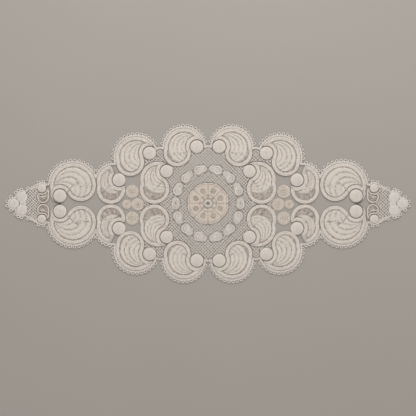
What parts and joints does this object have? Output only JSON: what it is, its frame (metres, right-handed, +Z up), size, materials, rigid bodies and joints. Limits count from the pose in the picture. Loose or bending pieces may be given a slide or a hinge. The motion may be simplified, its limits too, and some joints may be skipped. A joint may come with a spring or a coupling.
{
  "type": "lace table mat",
  "caption": "Oval lace mat with pointed ends, of padded comma motifs round a flower and its ring of scrolls, in fine net with a picot edging, lying flat.",
  "frame": {"origin": "middle of the mat's outline, on the table under it", "axes": "+X along the mat's length, +Y across it towards the back, +Z up from the table through its face"},
  "size_m": [0.6052, 0.2384, 0.0036],
  "materials": {
    "padded_thread": "matt, dense crocheted cotton",
    "bright_thread": "matt, raised crocheted cotton",
    "sheer_thread": "matt, open crocheted cotton"
  },
  "bodies": {
    "root": {"clover_left": "bright_thread", "clover_right": "bright_thread", "comma_crown_back_left": "padded_thread", "comma_crown_back_right": "padded_thread", "comma_crown_front_left": "padded_thread", "comma_crown_front_right": "padded_thread", "comma_end_back_left": "padded_thread", "comma_end_back_right": "padded_thread", "comma_end_front_left": "padded_thread", "comma_end_front_right": "padded_thread", "comma_inner_back_left": "padded_thread", "comma_inner_back_right": "padded_thread", "comma_inner_front_left": "padded_thread", "comma_inner_front_right": "padded_thread", "comma_outer_back_left": "padded_thread", "comma_outer_back_right": "padded_thread", "comma_outer_front_left": "padded_thread", "comma_outer_front_right": "padded_thread", "comma_shoulder_back_left": "padded_thread", "comma_shoulder_back_right": "padded_thread", "comma_shoulder_front_left": "padded_thread", "comma_shoulder_front_right": "padded_thread", "comma_waist_back_left": "padded_thread", "comma_waist_back_right": "padded_thread", "comma_waist_front_left": "padded_thread", "comma_waist_front_right": "padded_thread", "disc_far_left": "sheer_thread", "disc_far_right": "sheer_thread", "disc_lower_left": "sheer_thread", "disc_lower_right": "sheer_thread", "disc_near_left": "sheer_thread", "disc_near_right": "sheer_thread", "disc_upper_left": "sheer_thread", "disc_upper_right": "sheer_thread", "edging": "bright_thread", "end_web_left": "bright_thread", "end_web_right": "bright_thread", "flower": "sheer_thread", "ground": "sheer_thread", "hub": "bright_thread", "scroll_1_back_left": "bright_thread", "scroll_1_back_right": "bright_thread", "scroll_1_front_left": "bright_thread", "scroll_1_front_right": "bright_thread", "scroll_2_back_left": "bright_thread", "scroll_2_back_right": "bright_thread", "scroll_2_front_left": "bright_thread", "scroll_2_front_right": "bright_thread", "scroll_3_back_left": "bright_thread", "scroll_3_back_right": "bright_thread", "scroll_3_front_left": "bright_thread", "scroll_3_front_right": "bright_thread", "scroll_left": "bright_thread", "scroll_right": "bright_thread", "side_net_left": "sheer_thread", "side_net_right": "sheer_thread", "wedge_net_back_left": "sheer_thread", "wedge_net_back_right": "sheer_thread", "wedge_net_front_left": "sheer_thread", "wedge_net_front_right": "sheer_thread"}
  },
  "joints": []
}
